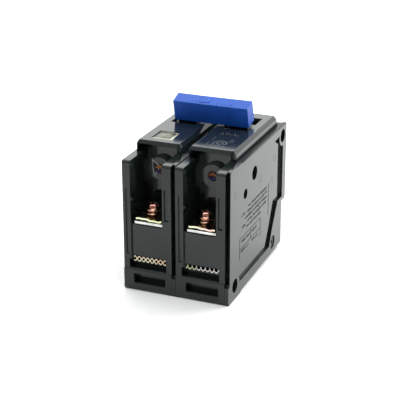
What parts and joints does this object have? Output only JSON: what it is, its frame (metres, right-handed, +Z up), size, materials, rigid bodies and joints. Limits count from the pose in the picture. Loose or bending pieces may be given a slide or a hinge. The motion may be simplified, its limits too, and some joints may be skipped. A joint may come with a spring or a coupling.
{
  "type": "miniature circuit breaker",
  "caption": "Plug-in miniature circuit breaker: paired pole cases, tied toggle handle, front screw terminals under open wells, rear plug-on jaws and a full trip mechanism inside.",
  "frame": {"origin": "centre of the underside's bounding rectangle, on the plane it rests on", "axes": "+X to the right across the poles, +Y from the load terminals to the line jaws, +Z up towards the handle"},
  "size_m": [0.0506, 0.0776, 0.0788],
  "materials": {
    "case_plastic": "gloss black phenolic moulding",
    "handle_plastic": "satin blue moulding",
    "toggle_plastic": "satin black moulding",
    "copper": "bright copper plate",
    "yellow_zinc": "steel with yellow iridescent zinc",
    "tin_plate": "tinned copper strip",
    "steel": "plain steel",
    "silver_contact": "silver alloy button",
    "bimetal": "rolled bimetal strip",
    "braided_copper": "braided copper lead",
    "foil": "champagne foil, blank"
  },
  "bodies": {
    "case": {"case_base_left": "case_plastic", "case_base_right": "case_plastic", "case_cover_left": "case_plastic", "case_cover_right": "case_plastic", "handle_pin_left": "steel", "handle_pin_right": "steel", "fixed_contact_left": "silver_contact", "fixed_contact_right": "silver_contact", "line_jaw_left": "tin_plate", "line_jaw_right": "tin_plate", "jaw_spring_left": "steel", "jaw_spring_right": "steel", "arc_chute_left": "steel", "arc_chute_right": "steel", "vent_screen_left": "copper", "vent_screen_right": "copper", "terminal_strap_left": "tin_plate", "terminal_strap_right": "tin_plate", "terminal_nut_left": "steel", "terminal_nut_right": "steel", "bimetal_left": "bimetal", "bimetal_right": "bimetal", "magnet_yoke_left": "steel", "magnet_yoke_right": "steel", "operating_spring_left": "steel", "operating_spring_right": "steel", "braid_left": "braided_copper", "braid_right": "braided_copper", "rating_plate": "foil", "rivet_front_low": "steel", "rivet_rear_low": "steel", "rivet_rear_top": "steel", "rivet_middle": "steel"},
    "handle": {"handle_tie_bar": "handle_plastic", "toggle_left": "toggle_plastic", "toggle_right": "toggle_plastic"},
    "trip_bar": {"common_trip_bar": "toggle_plastic"},
    "arm_left": {"contact_arm_left": "copper", "arm_pin_left": "steel", "moving_contact_left": "silver_contact"},
    "arm_right": {"contact_arm_right": "copper", "arm_pin_right": "steel", "moving_contact_right": "silver_contact"},
    "clamp_left": {"pressure_plate_left": "yellow_zinc", "screw_washer_left": "copper"},
    "clamp_right": {"pressure_plate_right": "yellow_zinc", "screw_washer_right": "copper"},
    "screw_left": {"terminal_screw_left": "copper"},
    "screw_right": {"terminal_screw_right": "copper"},
    "calibration_left": {"calibration_screw_left": "copper"},
    "calibration_right": {"calibration_screw_right": "copper"},
    "armature_plate_left": {"armature_left": "steel"},
    "armature_plate_right": {"armature_right": "steel"},
    "cradle_lever_left": {"cradle_left": "steel"},
    "cradle_lever_right": {"cradle_right": "steel"}
  },
  "joints": [
    {"name": "handle_throw", "type": "hinge", "parent": "case", "child": "handle", "pos_m": [-0.00179, 0.01605, 0.056], "axis": [-1, 0, 0], "range_deg": [0, 32]},
    {"name": "trip_bar_turn", "type": "hinge", "parent": "case", "child": "trip_bar", "pos_m": [0, -0.00175, 0.0306], "axis": [1, 0, 0], "range_deg": [0, 12], "stiffness_Nm_per_rad": 0.002, "springref_deg": -17.19},
    {"name": "arm_swing_left", "type": "hinge", "parent": "handle", "child": "arm_left", "pos_m": [-0.01449, 0.01786, 0.04924], "axis": [-1, 0, 0], "range_deg": [-20.5, 0]},
    {"name": "cradle_drop_left", "type": "hinge", "parent": "case", "child": "cradle_lever_left", "pos_m": [-0.01874, 0.02975, 0.041], "axis": [1, 0, 0], "range_deg": [0, 8]},
    {"name": "armature_pull_left", "type": "hinge", "parent": "case", "child": "armature_plate_left", "pos_m": [-0.01449, -0.00495, 0.0462], "axis": [-1, 0, 0], "range_deg": [0, 3], "stiffness_Nm_per_rad": 0.002, "springref_deg": -17.19},
    {"name": "clamp_lift_left", "type": "slide", "parent": "case", "child": "clamp_left", "axis": [0, 0, 1], "range_m": [0, 0.0021]},
    {"name": "screw_turn_left", "type": "hinge", "parent": "clamp_left", "child": "screw_left", "pos_m": [-0.01394, -0.03115, 0.037], "axis": [0, 0, 1], "range_deg": [0, 1081]},
    {"name": "calibration_turn_left", "type": "hinge", "parent": "case", "child": "calibration_left", "pos_m": [-0.01254, -0.02675, 0.0556], "axis": [0, -1, 0], "range_deg": [-90, 90]},
    {"name": "arm_swing_right", "type": "hinge", "parent": "handle", "child": "arm_right", "pos_m": [0.01091, 0.01786, 0.04924], "axis": [-1, 0, 0], "range_deg": [-20.5, 0]},
    {"name": "cradle_drop_right", "type": "hinge", "parent": "case", "child": "cradle_lever_right", "pos_m": [0.00666, 0.02975, 0.041], "axis": [1, 0, 0], "range_deg": [0, 8]},
    {"name": "armature_pull_right", "type": "hinge", "parent": "case", "child": "armature_plate_right", "pos_m": [0.01091, -0.00495, 0.0462], "axis": [-1, 0, 0], "range_deg": [0, 3], "stiffness_Nm_per_rad": 0.002, "springref_deg": -17.19},
    {"name": "clamp_lift_right", "type": "slide", "parent": "case", "child": "clamp_right", "axis": [0, 0, 1], "range_m": [0, 0.0021]},
    {"name": "screw_turn_right", "type": "hinge", "parent": "clamp_right", "child": "screw_right", "pos_m": [0.01146, -0.03115, 0.037], "axis": [0, 0, 1], "range_deg": [0, 1081]},
    {"name": "calibration_turn_right", "type": "hinge", "parent": "case", "child": "calibration_right", "pos_m": [0.01286, -0.02675, 0.0556], "axis": [0, -1, 0], "range_deg": [-90, 90]}
  ],
  "couplings": [
    {"joint": "arm_swing_left", "follows": "handle_throw", "ratio": -0.625},
    {"joint": "screw_turn_left", "follows": "clamp_lift_left", "rad_per_m": 8976},
    {"joint": "arm_swing_right", "follows": "handle_throw", "ratio": -0.625},
    {"joint": "screw_turn_right", "follows": "clamp_lift_right", "rad_per_m": 8976}
  ]
}
